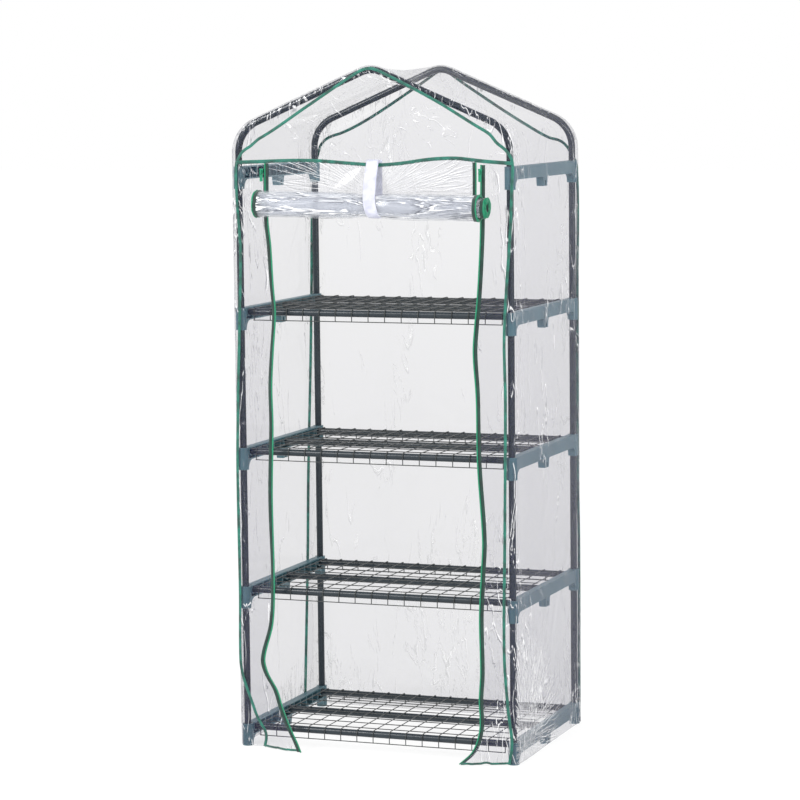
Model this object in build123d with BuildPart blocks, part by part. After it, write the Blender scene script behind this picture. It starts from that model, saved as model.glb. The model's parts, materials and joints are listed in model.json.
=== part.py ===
from build123d import *
import os
from math import asin, atan2, cos, degrees, hypot, radians, sin, sqrt, tan

# Four-tier mini greenhouse: a push-fit tube frame with lift-off wire shelves and a loose clear
# cover whose door rolls up at the front.  Millimetres, +Z up.  The origin lies on the floor under
# the middle of the whole outline; the frame itself stands a little behind it, because the
# rolled-up door reaches out in front.

# ---- driving dimensions ---------------------------------------------------------------------
POST_X = 333.0              # half the spacing of the post centres across the front
POST_Y = 233.0              # half the spacing of the post centres from front to back
LEVELS = 5                  # side brackets stacked on each side
LEVEL_PITCH = 330.0         # from one bracket to the next
TUBE_D = 16.0
TUBE_WALL = 0.6
FIT = 0.05                  # radial play of a tube in its socket

SLEEVE_D = 25.0             # upright sleeve at each end of a bracket
SLEEVE_H = 52.0
SOCKET_DEPTH = 24.0         # from each end of a sleeve
BEAM_H = 30.0               # bracket beam between its sleeves
BEAM_DEPTH = 18.0           # across the beam, centred on the posts
BEAM_WALL = 3.0
WEB_FOOT = 11.0             # how far the beam's web stands in from a post's centre at its foot
LUG_TOP = 34.0              # clip lug under the middle of the beam
LUG_FOOT = 24.0
LUG_SLOT = 8.0
SHELF_SOCKET_DEPTH = 14.0
SHELF_SOCKET_WALL = 2.5
SHELF_TUBE_INSET = 25.0     # front and rear shelf tubes, in from the posts' centres
SHELF_TUBE_DROP = 11.0      # shelf tube centres below the bracket's top

WIRE_D = 2.2
WIRE_PITCH_X = 40.9         # between the wires that run front to back
WIRE_PITCH_Y = 52.0         # between the wires that run across
CROSS_WIRES = 8
RUN_WIRES = 16
FLANGE_DROP = 29.0          # the shelf's front and rear edges turn down this far
SHELF_PLAY = 0.3            # the shelf's wires stand this far off the tubes

APEX_Z = 1600.0             # top of the roof tubes
EAVE_CORNER_Z = 1455.0      # where a leg's line meets the roof slope's line
EAVE_R = 78.0
APEX_R = 60.0

FILM = 0.3                  # clear cover film
COVER_GAP = 1.8             # film off the bracket sleeves
ROOF_GAP = 3.0              # film off the roof tubes
COVER_BOTTOM_Z = 3.0
TAPE_W = 7.0                # edge binding
TAPE_T = 2.5
EAVE_BAND_Z = 1377.0        # binding across the front, above the doorway
EAVE_BAND_H = 11.0
DOOR_HALF = 268.0           # half the doorway between the zips
ZIP_W = 12.0
ZIP_T = 1.2

ROLL_R = 32.0               # rolled-up door
ROLL_WALL = 1.5
ROLL_Z = 1284.0
ROLL_LEFT = -268.0
ROLL_RIGHT = 280.0
ROLL_GAP = 1.5              # roll off the front of the cover

STRAP_W = 30.0
STRAP_T = 0.8
STRAP_X = 15.0              # middle of the strap that holds the roll
STRAP_GAP = 0.4             # strap off the roll
STRAP_END = 250.0           # where its front leg stops round the roll, degrees

SLIDER_W, SLIDER_H, SLIDER_T = 10.0, 15.0, 3.0
SLIDER_Z = 1360.0
SLIDER_PLAY = 0.3
BRIDGE_W, BRIDGE_T, BRIDGE_CLEAR = 2.0, 1.4, 3.0
PULL_W, PULL_T, PULL_L = 7.0, 1.2, 22.0
PULL_BAR_D = 1.6
PULL_EYE = 6.0              # from the pull's bar to its solid tab

# ---- sizes that follow ----------------------------------------------------------------------
TUBE_R = TUBE_D / 2
SLEEVE_R = SLEEVE_D / 2
INNER_X = POST_X - BEAM_DEPTH / 2
COVER_X = POST_X + SLEEVE_R + COVER_GAP + FILM
COVER_Y = POST_Y + SLEEVE_R + COVER_GAP + FILM
FRONT_REACH = COVER_Y + ROLL_GAP + 2 * ROLL_R + STRAP_GAP + STRAP_T
REAR_REACH = COVER_Y + TAPE_T
FRAME_Y = (FRONT_REACH - REAR_REACH) / 2
FRONT_Y = FRAME_Y - COVER_Y
REAR_Y = FRAME_Y + COVER_Y
SHELF_TUBE_Y = POST_Y - SHELF_TUBE_INSET
SHELF_HALF_X = WIRE_PITCH_X * (RUN_WIRES - 1) / 2

# The apex bend sits below the corner of its two slopes by APEX_R (1 / cos(slope) - 1), so the
# slope is found by a few rounds of that sum.
apex_corner_z = APEX_Z - TUBE_R
for _ in range(8):
    slope = atan2(apex_corner_z - EAVE_CORNER_Z, POST_X)
    apex_corner_z = APEX_Z - TUBE_R + APEX_R * (1 / cos(slope) - 1)


def bracket_top(level):
    """Height of a bracket's top edge, level 0 standing on the floor."""
    return SLEEVE_H + level * LEVEL_PITCH


def arch_points(foot_z):
    """Centre line of a roof tube as corners, from its left foot to its right foot."""
    return [(-POST_X, foot_z), (-POST_X, EAVE_CORNER_Z), (0, apex_corner_z),
            (POST_X, EAVE_CORNER_Z), (POST_X, foot_z)]


def cover_points(inset, bottom_z):
    """The cover's outline seen from the front, moved in by inset, as corners."""
    side_x = COVER_X - inset
    top_z = apex_corner_z + (TUBE_R + ROOF_GAP - inset) / cos(slope)
    eave_z = top_z - side_x * tan(slope)
    return [(-side_x, bottom_z), (-side_x, eave_z), (0, top_z), (side_x, eave_z), (side_x, bottom_z)]


def cover_radii(inset):
    """Bends of the cover's outline: eave, apex, eave."""
    reach = TUBE_R + ROOF_GAP - inset
    return [EAVE_R + reach, APEX_R + reach, EAVE_R + reach]


def front_plane(y):
    """A plane that faces forward at depth y, with local x across and local y up."""
    return Plane(origin=(0, y, 0), x_dir=(1, 0, 0), z_dir=(0, -1, 0))


def side_plane(side):
    """The inner face of a bracket's beam, facing outward on that side."""
    return Plane(origin=(side * INNER_X, FRAME_Y, 0), x_dir=(0, side, 0), z_dir=(side, 0, 0))


os.makedirs("parts", exist_ok=True)


def save(builder, name):
    """Label a finished piece and write it."""
    builder.part.label = name
    export_step(builder.part, f"parts/{name}.step")


# ---- side brackets --------------------------------------------------------------------------
# One moulding holds a front and a rear post: two sleeves joined by a beam.  The beam is a channel
# with its open side inward, stiffened by ribs, with sockets for the three shelf tubes and a
# forked lug under its middle.
def bracket_profile(top):
    """Closed outline of the beam, its two end webs and the lug, seen from the side."""
    foot = top - SLEEVE_H
    under = top - BEAM_H
    curve = SLEEVE_H - BEAM_H
    web = POST_Y - WEB_FOOT
    bend = (web - curve + curve * cos(radians(45)), foot + curve * sin(radians(45)))
    with BuildLine() as outline:
        Polyline((0, top), (POST_Y, top), (POST_Y, foot), (web, foot))
        ThreePointArc((web, foot), bend, (web - curve, under))
        Polyline((web - curve, under), (LUG_TOP / 2, under), (LUG_FOOT / 2, foot),
                 (LUG_SLOT / 2, foot), (LUG_SLOT / 2, foot + curve * 0.6), (0, foot + curve * 0.6))
        mirror(about=Plane.YZ)
    return outline.edges()


def build_bracket(side, top):
    """One side bracket, on the left (side -1) or the right (side 1)."""
    inner = side_plane(side)
    socket_z = top - SHELF_TUBE_DROP
    socket_spots = [(y, socket_z) for y in (-SHELF_TUBE_Y, 0, SHELF_TUBE_Y)]
    rib_spots = [(s * y, top - BEAM_H / 2) for s in (-1, 1) for y in (30, 70, 110, 150, 185)]
    with BuildPart() as bracket:
        with BuildSketch(inner):
            make_face(bracket_profile(top))
        extrude(amount=BEAM_DEPTH)
        with BuildSketch(inner):
            with Locations((0, top - BEAM_H / 2)):
                Rectangle(2 * (POST_Y - SLEEVE_R), BEAM_H - 2 * BEAM_WALL)
        extrude(amount=BEAM_DEPTH - BEAM_WALL, mode=Mode.SUBTRACT)
        with BuildSketch(inner):
            with Locations(*rib_spots):
                Rectangle(2, BEAM_H - BEAM_WALL)
            with Locations(*socket_spots):
                Circle(TUBE_R + SHELF_SOCKET_WALL)
        extrude(amount=BEAM_DEPTH - BEAM_WALL / 2)
        outer = bracket.faces().filter_by(Plane.YZ).sort_by(Axis.X)[-1 if side > 0 else 0]
        chamfer(outer.outer_wire().edges().filter_by(Axis.Y).sort_by(Axis.Z)[-1], length=1.2)
        for y in (FRAME_Y - POST_Y, FRAME_Y + POST_Y):
            with BuildSketch(Plane.XY.offset(top - SLEEVE_H)):
                with Locations((side * POST_X, y)):
                    Circle(SLEEVE_R)
            extrude(amount=SLEEVE_H)
        with BuildSketch(inner):
            with Locations(*socket_spots):
                Circle(TUBE_R + FIT)
        extrude(amount=SHELF_SOCKET_DEPTH, mode=Mode.SUBTRACT)
        for start in (top - SLEEVE_H, top - SOCKET_DEPTH):
            with BuildSketch(Plane.XY.offset(start)):
                with Locations((side * POST_X, FRAME_Y - POST_Y), (side * POST_X, FRAME_Y + POST_Y)):
                    Circle(TUBE_R + FIT)
            extrude(amount=SOCKET_DEPTH, mode=Mode.SUBTRACT)
    return bracket


for level in range(LEVELS):
    for side, side_name in ((-1, "left"), (1, "right")):
        save(build_bracket(side, bracket_top(level)), f"side_bracket_{side_name}_{level + 1}")


# ---- posts ----------------------------------------------------------------------------------
# Thin steel tubes, each pushed into the sleeve below and the sleeve above.
def build_post(x, y, low_z, high_z):
    """One upright tube."""
    with BuildPart() as post:
        with BuildSketch(Plane.XY.offset(low_z)):
            with Locations((x, y)):
                Circle(TUBE_R)
                Circle(TUBE_R - TUBE_WALL, mode=Mode.SUBTRACT)
        extrude(amount=high_z - low_z)
    return post


corners = {"front_left": (-1, -1), "front_right": (1, -1), "rear_left": (-1, 1), "rear_right": (1, 1)}
for level in range(LEVELS - 1):
    low = bracket_top(level) - SOCKET_DEPTH
    high = bracket_top(level + 1) - SLEEVE_H + SOCKET_DEPTH
    for corner, (side, end) in corners.items():
        post = build_post(side * POST_X, FRAME_Y + end * POST_Y, low, high)
        save(post, f"post_{corner}_{level + 1}")


# ---- shelf tubes ----------------------------------------------------------------------------
# Three tubes under each shelf run from a socket in one bracket to the socket in its partner.
def build_shelf_tube(y, z):
    """One tube across the frame."""
    half = INNER_X + SHELF_SOCKET_DEPTH
    with BuildPart() as tube:
        with BuildSketch(Plane.YZ.offset(-half)):
            with Locations((y, z)):
                Circle(TUBE_R)
                Circle(TUBE_R - TUBE_WALL, mode=Mode.SUBTRACT)
        extrude(amount=2 * half)
    return tube


tube_rows = {"front": -SHELF_TUBE_Y, "middle": 0, "rear": SHELF_TUBE_Y}
for level in range(LEVELS - 1):
    for row, y in tube_rows.items():
        tube = build_shelf_tube(FRAME_Y + y, bracket_top(level) - SHELF_TUBE_DROP)
        save(tube, f"shelf_tube_{row}_{level + 1}")


# ---- roof tubes -----------------------------------------------------------------------------
# One bent tube at the front and one at the rear stand in the top sleeves and meet at the ridge.
def build_arch(y):
    """One roof tube with its two eave bends and its apex bend."""
    foot_z = bracket_top(LEVELS - 1) - SOCKET_DEPTH
    with BuildPart() as arch:
        with BuildLine(front_plane(y)) as path:
            FilletPolyline(*arch_points(foot_z), radius=[EAVE_R, APEX_R, EAVE_R])
        with BuildSketch(Plane(origin=path.line @ 0, z_dir=path.line % 0)):
            Circle(TUBE_R)
            Circle(TUBE_R - TUBE_WALL, mode=Mode.SUBTRACT)
        sweep(path=path.line)
    return arch


save(build_arch(FRAME_Y - POST_Y), "roof_arch_front")
save(build_arch(FRAME_Y + POST_Y), "roof_arch_rear")


# ---- wire shelves ---------------------------------------------------------------------------
# A welded grid lies on the three tubes.  The wires that run front to back turn down over the
# outer tubes, and a wire along their ends makes each turned-down edge stiff.
def build_shelf(top):
    """One welded shelf whose wires rest on tubes below a bracket top."""
    wire_r = WIRE_D / 2
    wrap_r = TUBE_R + SHELF_PLAY + wire_r
    tube_z = top - SHELF_TUBE_DROP
    mesh_z = tube_z + wrap_r
    edge_y = SHELF_TUBE_Y + wrap_r
    weld = 0.9 * WIRE_D
    with BuildPart() as shelf:
        for i in range(RUN_WIRES):
            x = -SHELF_HALF_X + i * WIRE_PITCH_X
            run_plane = Plane(origin=(x, FRAME_Y, 0), x_dir=(0, 1, 0), z_dir=(1, 0, 0))
            with BuildLine(run_plane) as run:
                FilletPolyline((-edge_y, mesh_z - FLANGE_DROP), (-edge_y, mesh_z),
                               (edge_y, mesh_z), (edge_y, mesh_z - FLANGE_DROP), radius=wrap_r)
            with BuildSketch(Plane(origin=run.line @ 0, z_dir=run.line % 0)):
                Circle(wire_r)
            sweep(path=run.line)
        across = [(-SHELF_TUBE_Y + (i + 0.5) * WIRE_PITCH_Y, mesh_z - weld) for i in range(CROSS_WIRES)]
        edges = [(s * (edge_y + weld), mesh_z - FLANGE_DROP + wire_r) for s in (-1, 1)]
        length = SHELF_HALF_X + wire_r
        with BuildSketch(Plane(origin=(-length, FRAME_Y, 0), x_dir=(0, 1, 0), z_dir=(1, 0, 0))):
            with Locations(*across, *edges):
                Circle(wire_r)
        extrude(amount=2 * length)
    return shelf


for level in range(LEVELS - 1):
    save(build_shelf(bracket_top(level)), f"wire_shelf_{level + 1}")


# ---- cover ----------------------------------------------------------------------------------
# One film goes up one side, over the roof and down the other.  A rear panel, a front gable and
# two front strips close it, and green binding covers the seams.
def cover_outline(inset, bottom_z):
    """The edges of the cover's closed outline, moved in by inset, in a sketch's own plane."""
    points = cover_points(inset, bottom_z)
    with BuildLine() as outline:
        FilletPolyline(*points, radius=cover_radii(inset))
        Line(points[-1], points[0])
    return outline.edges()


with BuildPart() as cover_wrap:
    with BuildSketch(front_plane(REAR_Y)):
        make_face(cover_outline(0, COVER_BOTTOM_Z))
    extrude(amount=REAR_Y - FRONT_Y)
    with BuildSketch(front_plane(REAR_Y)):
        make_face(cover_outline(FILM, 0))
    extrude(amount=REAR_Y - FRONT_Y, mode=Mode.SUBTRACT)
save(cover_wrap, "cover_wrap")

with BuildPart() as rear_panel:
    with BuildSketch(front_plane(REAR_Y)):
        make_face(cover_outline(FILM, COVER_BOTTOM_Z))
    extrude(amount=FILM)
save(rear_panel, "rear_panel")

with BuildPart() as gable_panel:
    with BuildSketch(front_plane(FRONT_Y + FILM)):
        make_face(cover_outline(FILM, EAVE_BAND_Z))
    extrude(amount=FILM)
save(gable_panel, "gable_panel")

strip_w = COVER_X - FILM - DOOR_HALF
strip_h = EAVE_BAND_Z - COVER_BOTTOM_Z
for side, side_name in ((-1, "left"), (1, "right")):
    with BuildPart() as front_strip:
        with BuildSketch(front_plane(FRONT_Y + FILM)):
            with Locations((side * (DOOR_HALF + strip_w / 2), COVER_BOTTOM_Z + strip_h / 2)):
                Rectangle(strip_w, strip_h)
        extrude(amount=FILM)
    save(front_strip, f"front_strip_{side_name}")

with BuildPart() as front_binding:
    with BuildSketch(front_plane(FRONT_Y)):
        make_face(cover_outline(0, COVER_BOTTOM_Z))
    extrude(amount=TAPE_T)
    with BuildSketch(front_plane(FRONT_Y)):
        make_face(cover_outline(TAPE_W, 0))
    extrude(amount=TAPE_T, mode=Mode.SUBTRACT)
    with BuildSketch(front_plane(FRONT_Y)):
        with Locations((0, EAVE_BAND_Z + EAVE_BAND_H / 2)):
            Rectangle(2 * COVER_X - TAPE_W, EAVE_BAND_H)
    extrude(amount=TAPE_T)
save(front_binding, "front_binding")

with BuildPart() as rear_binding:
    with BuildSketch(front_plane(REAR_Y + TAPE_T)):
        make_face(cover_outline(0, COVER_BOTTOM_Z))
    extrude(amount=TAPE_T)
    with BuildSketch(front_plane(REAR_Y + TAPE_T)):
        make_face(cover_outline(TAPE_W, 0))
    extrude(amount=TAPE_T, mode=Mode.SUBTRACT)
save(rear_binding, "rear_binding")

with BuildPart() as zip_tapes:
    with BuildSketch(front_plane(FRONT_Y)):
        with Locations((-DOOR_HALF, COVER_BOTTOM_Z + strip_h / 2), (DOOR_HALF, COVER_BOTTOM_Z + strip_h / 2)):
            Rectangle(ZIP_W, strip_h)
    extrude(amount=ZIP_T)
save(zip_tapes, "zip_tapes")

# ---- rolled-up door -------------------------------------------------------------------------
# The door is the middle of the front: a film that hangs from the eave band and is rolled up.
# A strap sewn at the band holds the roll: one leg goes down behind it, one over its front.
CURTAIN_GAP = 0.3
CURTAIN_HALF = DOOR_HALF - ZIP_W / 2 - 3
with BuildPart() as door_curtain:
    with BuildSketch(front_plane(FRONT_Y - ROLL_GAP + CURTAIN_GAP + FILM)):
        with Locations((0, (ROLL_Z + EAVE_BAND_Z) / 2)):
            Rectangle(2 * CURTAIN_HALF, EAVE_BAND_Z - ROLL_Z)
    extrude(amount=FILM)
save(door_curtain, "door_curtain")

roll_y = FRONT_Y - ROLL_GAP - ROLL_R
with BuildPart() as door_roll:
    with BuildSketch(Plane.YZ.offset(ROLL_LEFT)):
        with Locations((roll_y, ROLL_Z)):
            Circle(ROLL_R)
            Circle(ROLL_R - ROLL_WALL, mode=Mode.SUBTRACT)
    extrude(amount=ROLL_RIGHT - ROLL_LEFT)
save(door_roll, "door_roll")

strap_top_z = EAVE_BAND_Z + EAVE_BAND_H
strap_foot_z = ROLL_Z - ROLL_R - STRAP_GAP
with BuildPart() as strap_back:
    with BuildSketch(front_plane(FRONT_Y + FILM + STRAP_GAP + STRAP_T)):
        with Locations((STRAP_X, (strap_top_z + strap_foot_z) / 2)):
            Rectangle(STRAP_W, strap_top_z - strap_foot_z)
    extrude(amount=STRAP_T)
save(strap_back, "strap_back")

# The front leg runs straight from its seam to the roll, touches it and follows it round.
seam = (FRONT_Y - TAPE_T - STRAP_T / 2, strap_top_z)
strap_r = ROLL_R + STRAP_GAP + STRAP_T / 2
to_seam = (seam[0] - roll_y, seam[1] - ROLL_Z)
seam_angle = degrees(atan2(to_seam[1], to_seam[0]))
touch = seam_angle + 90 - degrees(asin(strap_r / hypot(*to_seam)))


def on_roll(angle):
    """A point of the strap's middle line, at an angle round the roll, as (y, z)."""
    return (roll_y + strap_r * cos(radians(angle)), ROLL_Z + strap_r * sin(radians(angle)))


with BuildPart() as strap_front:
    strap_plane = Plane(origin=(STRAP_X, 0, 0), x_dir=(0, 1, 0), z_dir=(1, 0, 0))
    with BuildLine(strap_plane) as strap_path:
        Line(seam, on_roll(touch))
        ThreePointArc(on_roll(touch), on_roll((touch + STRAP_END) / 2), on_roll(STRAP_END))
    with BuildSketch(Plane(origin=strap_path.line @ 0, x_dir=(1, 0, 0), z_dir=strap_path.line % 0)):
        Rectangle(STRAP_W, STRAP_T)
    sweep(path=strap_path.line)
save(strap_front, "strap_front")

# ---- zip sliders and their pulls ------------------------------------------------------------
# Each slider is a wedge that runs on the tape, with a bridge over the bar of its pull.
slider_y = FRONT_Y - ZIP_T - SLIDER_PLAY
slider_front_y = slider_y - SLIDER_T
bar_y = slider_front_y - BRIDGE_CLEAR / 2
bridge_half = SLIDER_H / 2 - 3


def build_slider(x):
    """A slider body with its bridge."""
    with BuildPart() as slider:
        with BuildSketch(front_plane(slider_y)):
            with Locations((x, SLIDER_Z)):
                Trapezoid(SLIDER_W, SLIDER_H, 80, rotation=180)
        extrude(amount=SLIDER_T)
        with BuildSketch(Plane(origin=(x - BRIDGE_W / 2, 0, 0), x_dir=(0, 1, 0), z_dir=(1, 0, 0))):
            with Locations((slider_front_y - (BRIDGE_CLEAR + BRIDGE_T) / 2, SLIDER_Z)):
                Rectangle(BRIDGE_CLEAR + BRIDGE_T, 2 * bridge_half)
            with Locations((slider_front_y - BRIDGE_CLEAR / 2, SLIDER_Z)):
                Rectangle(BRIDGE_CLEAR, 2 * (bridge_half - BRIDGE_T), mode=Mode.SUBTRACT)
        extrude(amount=BRIDGE_W)
    return slider


def build_pull(x):
    """A pull: a bar under the bridge, two arms and a rounded tab."""
    with BuildPart() as pull:
        with BuildSketch(front_plane(bar_y + PULL_T / 2)):
            with Locations((x, SLIDER_Z - PULL_L / 2)):
                RectangleRounded(PULL_W, PULL_L, 1.5)
            with Locations((x, SLIDER_Z - PULL_EYE / 2)):
                Rectangle(PULL_W - 2.4, PULL_EYE, mode=Mode.SUBTRACT)
        extrude(amount=PULL_T)
        with BuildSketch(Plane.YZ.offset(x - PULL_W / 2)):
            with Locations((bar_y, SLIDER_Z)):
                Circle(PULL_BAR_D / 2)
        extrude(amount=PULL_W)
    return pull


for side, side_name in ((-1, "left"), (1, "right")):
    save(build_slider(side * DOOR_HALF), f"zip_slider_{side_name}")
    save(build_pull(side * DOOR_HALF), f"zip_pull_{side_name}")
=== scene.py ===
import json
from math import atan2, cos, exp, hypot, pi, radians, sin, tau
from random import Random

import bmesh
import bpy
from mathutils import Matrix, Quaternion, Vector, noise


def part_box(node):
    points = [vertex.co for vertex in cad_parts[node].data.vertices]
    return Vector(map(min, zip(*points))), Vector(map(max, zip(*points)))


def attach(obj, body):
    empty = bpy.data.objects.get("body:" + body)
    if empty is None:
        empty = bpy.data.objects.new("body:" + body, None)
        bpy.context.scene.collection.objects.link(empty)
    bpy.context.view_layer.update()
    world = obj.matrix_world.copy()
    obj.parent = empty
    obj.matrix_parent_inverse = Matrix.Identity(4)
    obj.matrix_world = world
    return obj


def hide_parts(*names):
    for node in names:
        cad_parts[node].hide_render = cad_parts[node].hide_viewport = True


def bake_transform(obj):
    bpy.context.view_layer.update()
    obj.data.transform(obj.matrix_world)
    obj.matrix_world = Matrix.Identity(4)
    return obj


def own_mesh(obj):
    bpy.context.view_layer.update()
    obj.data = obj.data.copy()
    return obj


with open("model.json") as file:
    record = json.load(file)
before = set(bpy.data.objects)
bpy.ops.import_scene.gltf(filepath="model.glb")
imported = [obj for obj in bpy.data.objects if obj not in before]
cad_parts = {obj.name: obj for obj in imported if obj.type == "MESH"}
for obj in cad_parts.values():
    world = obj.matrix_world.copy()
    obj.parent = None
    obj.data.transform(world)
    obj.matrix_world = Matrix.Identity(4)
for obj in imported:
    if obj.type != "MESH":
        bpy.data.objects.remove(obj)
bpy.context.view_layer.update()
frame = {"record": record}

# ==== studio ==================================================================================
# A pale floor under a white sky, with a square soft lamp from the left and a narrow one from the
# right that puts glints on the film.  The camera stands seven metres off, a little to the right.
CAMERA_AT = Vector((2.490, -6.620, 1.580))
CAMERA_AZIMUTH, CAMERA_ELEVATION, CAMERA_ROLL = radians(20.717), radians(6.189), radians(-0.621)


def add_object(name, data):
    """A new object in the scene."""
    made = bpy.data.objects.new(name, data)
    bpy.context.collection.objects.link(made)
    return made


camera_data = bpy.data.cameras.new("camera")
camera_data.lens = 134.9
camera_data.clip_end = 200
camera = add_object("camera", camera_data)
backward = Vector((sin(CAMERA_AZIMUTH) * cos(CAMERA_ELEVATION),
                   -cos(CAMERA_AZIMUTH) * cos(CAMERA_ELEVATION), sin(CAMERA_ELEVATION)))
camera.location = CAMERA_AT
camera.rotation_mode = "QUATERNION"
camera.rotation_quaternion = backward.to_track_quat("Z", "Y") @ Quaternion((0, 0, 1), CAMERA_ROLL)
bpy.context.scene.camera = camera
bpy.context.scene.view_settings.view_transform = "Standard"
bpy.context.scene.cycles.transparent_max_bounces = 64

sky = bpy.data.worlds.new("white_sky")
sky.use_nodes = True
sky.node_tree.nodes["Background"].inputs["Color"].default_value = (1.0, 1.0, 1.0, 1)
sky.node_tree.nodes["Background"].inputs["Strength"].default_value = 1.0
bpy.context.scene.world = sky


def add_lamp(name, at, towards, width, height, watts):
    """A soft box lamp that faces a point."""
    lamp = bpy.data.lights.new(name, "AREA")
    lamp.shape, lamp.size, lamp.size_y, lamp.energy = "RECTANGLE", width, height, watts
    holder = add_object(name, lamp)
    holder.location = at
    holder.rotation_mode = "QUATERNION"
    holder.rotation_quaternion = (Vector(towards) - Vector(at)).to_track_quat("-Z", "Y")


add_lamp("key_lamp", (-2.6, -3.4, 3.2), (0, 0, 0.9), 1.6, 1.6, 120)
add_lamp("side_lamp", (3.2, -1.4, 2.2), (0, 0, 0.8), 0.5, 2.2, 60)


def add_node(tree, kind, **values):
    """A node of a tree, with its properties or its inputs' values set by name."""
    made = tree.nodes.new(kind)
    for name, value in values.items():
        if hasattr(made, name):
            setattr(made, name, value)
        else:
            made.inputs[name.replace("_", " ")].default_value = value
    return made


def join(tree, *wires):
    """Links of a tree; each wire names a node and its output, then a node and its input."""
    for source, output, target, entry in wires:
        tree.links.new(source.outputs[output], target.inputs[entry])


def start_finish(name):
    """A new material: the material, its tree and its surface shader."""
    material = bpy.data.materials.new(name)
    material.use_nodes = True
    return material, material.node_tree, material.node_tree.nodes["Principled BSDF"]


floor_finish, tree, surface = start_finish("pale_floor")
surface.inputs["Roughness"].default_value = 0.8
surface.inputs["Specular IOR Level"].default_value = 0.0
surface.inputs["Emission Color"].default_value = (1.0, 1.0, 1.0, 1)
surface.inputs["Emission Strength"].default_value = 0.82
grain = add_node(tree, "ShaderNodeTexNoise", Scale=6.0, Detail=3.0)
tint = add_node(tree, "ShaderNodeMix", data_type="RGBA", A=(0.19, 0.19, 0.19, 1), B=(0.21, 0.21, 0.21, 1))
join(tree, (grain, "Fac", tint, "Factor"), (tint, "Result", surface, "Base Color"))
floor_mesh = bpy.data.meshes.new("floor")
floor_mesh.from_pydata([(-40, -40, 0), (40, -40, 0), (40, 40, 0), (-40, 40, 0)], [], [(0, 1, 2, 3)])
floor_mesh.materials.append(floor_finish)
floor_sheet = add_object("floor", floor_mesh)

# ==== side brackets ===========================================================================
# Ten polypropylene mouldings in grey teal.  Each joins a front and a rear post, with a ribbed
# channel between its two sleeves.  The moulding has a faint grain and paler, rubbed edges.


def add_sockets(tree, in_out, kind, *names):
    """Named inputs or outputs of one kind on a node group."""
    for name in names:
        tree.interface.new_socket(name=name, in_out=in_out, socket_type=f"NodeSocket{kind}")


GRIME = bpy.data.node_groups.new("moulding_marks", "ShaderNodeTree")
add_sockets(GRIME, "INPUT", "Float", "Grain Scale", "Rub Width")
add_sockets(GRIME, "OUTPUT", "Float", "Cloud", "Rubbed", "Grain")
group_in = add_node(GRIME, "NodeGroupInput")
group_out = add_node(GRIME, "NodeGroupOutput")
place = add_node(GRIME, "ShaderNodeTexCoord")
cloud = add_node(GRIME, "ShaderNodeTexNoise", Scale=18.0, Detail=4.0, Roughness=0.6)
grain = add_node(GRIME, "ShaderNodeTexNoise", Detail=2.0)
bevel = add_node(GRIME, "ShaderNodeBevel", samples=4)
shape = add_node(GRIME, "ShaderNodeNewGeometry")
turn = add_node(GRIME, "ShaderNodeVectorMath", operation="DOT_PRODUCT")
rub = add_node(GRIME, "ShaderNodeMapRange", From_Min=0.99, From_Max=0.80)
join(GRIME,
     (place, "Object", cloud, "Vector"), (place, "Object", grain, "Vector"),
     (group_in, "Grain Scale", grain, "Scale"), (group_in, "Rub Width", bevel, "Radius"),
     (bevel, "Normal", turn, 0), (shape, "Normal", turn, 1), (turn, "Value", rub, "Value"),
     (cloud, "Fac", group_out, "Cloud"), (rub, "Result", group_out, "Rubbed"),
     (grain, "Fac", group_out, "Grain"))


def hard_finish(name, dark, light, edge, grain_scale, rub_width, rough, bump):
    """A hard coloured finish: cloudy colour, paler rubbed edges, grain in the gloss and relief."""
    material, tree, surface = start_finish(name)
    marks = add_node(tree, "ShaderNodeGroup", node_tree=GRIME, Grain_Scale=grain_scale, Rub_Width=rub_width)
    body = add_node(tree, "ShaderNodeMix", data_type="RGBA", A=(*dark, 1), B=(*light, 1))
    worn = add_node(tree, "ShaderNodeMix", data_type="RGBA", B=(*edge, 1))
    gloss = add_node(tree, "ShaderNodeMapRange", To_Min=rough - 0.08, To_Max=rough + 0.12)
    relief = add_node(tree, "ShaderNodeBump", Strength=bump, Distance=0.0004)
    join(tree,
         (marks, "Cloud", body, "Factor"), (body, "Result", worn, "A"),
         (marks, "Rubbed", worn, "Factor"), (worn, "Result", surface, "Base Color"),
         (marks, "Cloud", gloss, "Value"), (gloss, "Result", surface, "Roughness"),
         (marks, "Grain", relief, "Height"), (relief, "Normal", surface, "Normal"))
    return material


def give_finish(material, *starts):
    """Put one material on the kept CAD pieces whose names start so."""
    for name in (n for body in frame["record"]["behaviour"]["bodies"].values() for n in body):
        if name.startswith(starts):
            for slot in bpy.data.objects[name].material_slots:
                slot.material = material


bracket_finish = hard_finish("teal_moulding", (0.038, 0.095, 0.122), (0.082, 0.168, 0.200),
                             (0.22, 0.33, 0.36), 700, 0.0012, 0.34, 0.25)
give_finish(bracket_finish, "side_bracket")

# ==== tubes ===================================================================================
# Posts, shelf tubes and the two bent roof tubes: thin steel, powder coated in dark slate with a
# slight orange peel.  They are only pushed together.
tube_finish = hard_finish("slate_powder_coat", (0.005, 0.011, 0.017), (0.020, 0.032, 0.042),
                          (0.12, 0.15, 0.17), 420, 0.0006, 0.26, 0.35)
give_finish(tube_finish, "post_", "shelf_tube", "roof_arch")

# ==== wire shelves ============================================================================
# Four grids of drawn wire, resistance welded at each crossing and dip coated almost black.  The
# front and rear edges are turned down, and each grid lies on three shelf tubes.
wire_finish = hard_finish("dark_dip_coat", (0.014, 0.018, 0.018), (0.045, 0.050, 0.050),
                          (0.10, 0.11, 0.11), 900, 0.0003, 0.32, 0.3)
give_finish(wire_finish, "wire_shelf")

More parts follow.
